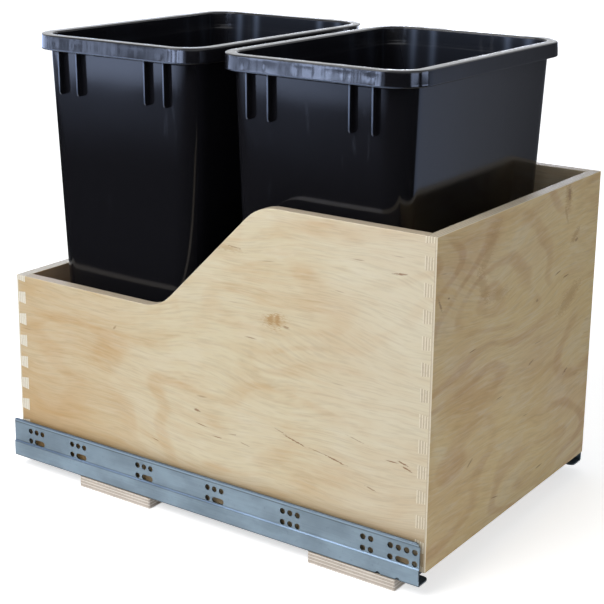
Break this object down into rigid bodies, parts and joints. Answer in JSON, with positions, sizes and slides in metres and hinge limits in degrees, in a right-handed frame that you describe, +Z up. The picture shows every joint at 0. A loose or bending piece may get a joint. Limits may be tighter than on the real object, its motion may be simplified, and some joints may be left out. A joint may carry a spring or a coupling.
{
  "type": "pull out bin frame",
  "caption": "Pull-out waste bin frame: dovetailed plywood box, high front and low back, on undermount slides, with lift-out black bins.",
  "frame": {"origin": "on the cabinet floor under the cross rails, half way along the slides and half way between them", "axes": "-Y is the front, towards which the drawer pulls out; +X is to the right seen from the front; +Z is up"},
  "size_m": [0.3746, 0.54, 0.4973],
  "materials": {
    "birch_plywood": "clear satin lacquer",
    "zinc_steel": "blue-grey zinc plating",
    "bright_steel": "zinc plated",
    "white_nylon": "natural nylon",
    "grey_plastic": "moulded, matt",
    "orange_plastic": "moulded, matt",
    "black_plastic": "moulded, glossy"
  },
  "bodies": {
    "floor_frame": {"front_cross_rail": "birch_plywood", "rear_cross_rail": "birch_plywood", "rail_screws": "bright_steel", "left_cabinet_member": "zinc_steel", "right_cabinet_member": "zinc_steel", "left_guide_strip": "zinc_steel", "right_guide_strip": "zinc_steel"},
    "left_middle": {"left_middle_member": "zinc_steel"},
    "right_middle": {"right_middle_member": "zinc_steel"},
    "left_lower_carriage": {"left_lower_cage": "grey_plastic", "left_lower_rollers": "white_nylon"},
    "right_lower_carriage": {"right_lower_cage": "grey_plastic", "right_lower_rollers": "white_nylon"},
    "left_upper_carriage": {"left_upper_cage": "grey_plastic", "left_upper_rollers": "white_nylon"},
    "right_upper_carriage": {"right_upper_cage": "grey_plastic", "right_upper_rollers": "white_nylon"},
    "drawer": {"left_side": "birch_plywood", "right_side": "birch_plywood", "front_panel": "birch_plywood", "back_panel": "birch_plywood", "bottom_panel": "birch_plywood", "left_drawer_member": "zinc_steel", "right_drawer_member": "zinc_steel", "left_front_clip": "grey_plastic", "right_front_clip": "grey_plastic", "clip_pins": "bright_steel", "clip_screws": "bright_steel"},
    "left_release": {"left_clip_lever": "orange_plastic"},
    "right_release": {"right_clip_lever": "orange_plastic"},
    "front_waste_bin": {"front_bin": "black_plastic"},
    "rear_waste_bin": {"rear_bin": "black_plastic"}
  },
  "joints": [
    {"name": "drawer_slide", "type": "slide", "parent": "floor_frame", "child": "drawer", "axis": [0, -1, 0], "range_m": [0, 0.525]},
    {"name": "left_middle_slide", "type": "slide", "parent": "floor_frame", "child": "left_middle", "axis": [0, -1, 0], "range_m": [0, 0.2625]},
    {"name": "right_middle_slide", "type": "slide", "parent": "floor_frame", "child": "right_middle", "axis": [0, -1, 0], "range_m": [0, 0.2625]},
    {"name": "left_lower_carriage_slide", "type": "slide", "parent": "floor_frame", "child": "left_lower_carriage", "axis": [0, -1, 0], "range_m": [0, 0.13125]},
    {"name": "right_lower_carriage_slide", "type": "slide", "parent": "floor_frame", "child": "right_lower_carriage", "axis": [0, -1, 0], "range_m": [0, 0.13125]},
    {"name": "left_upper_carriage_slide", "type": "slide", "parent": "floor_frame", "child": "left_upper_carriage", "axis": [0, -1, 0], "range_m": [0, 0.39375]},
    {"name": "right_upper_carriage_slide", "type": "slide", "parent": "floor_frame", "child": "right_upper_carriage", "axis": [0, -1, 0], "range_m": [0, 0.39375]},
    {"name": "left_lever_hinge", "type": "hinge", "parent": "drawer", "child": "left_release", "pos_m": [-0.1202, -0.2225, 0.0262], "axis": [0, 0, -1], "range_deg": [0, 12], "stiffness_Nm_per_rad": 0.05},
    {"name": "right_lever_hinge", "type": "hinge", "parent": "drawer", "child": "right_release", "pos_m": [0.1202, -0.2225, 0.0262], "axis": [0, 0, 1], "range_deg": [0, 12], "stiffness_Nm_per_rad": 0.05},
    {"name": "front_bin_lift", "type": "slide", "parent": "drawer", "child": "front_waste_bin", "axis": [0, 0, 1], "range_m": [0, 0.33]},
    {"name": "rear_bin_lift", "type": "slide", "parent": "drawer", "child": "rear_waste_bin", "axis": [0, 0, 1], "range_m": [0, 0.33]}
  ],
  "couplings": [
    {"joint": "left_middle_slide", "follows": "drawer_slide", "ratio": 0.5},
    {"joint": "right_middle_slide", "follows": "drawer_slide", "ratio": 0.5},
    {"joint": "left_lower_carriage_slide", "follows": "drawer_slide", "ratio": 0.25},
    {"joint": "right_lower_carriage_slide", "follows": "drawer_slide", "ratio": 0.25},
    {"joint": "left_upper_carriage_slide", "follows": "drawer_slide", "ratio": 0.75},
    {"joint": "right_upper_carriage_slide", "follows": "drawer_slide", "ratio": 0.75}
  ]
}
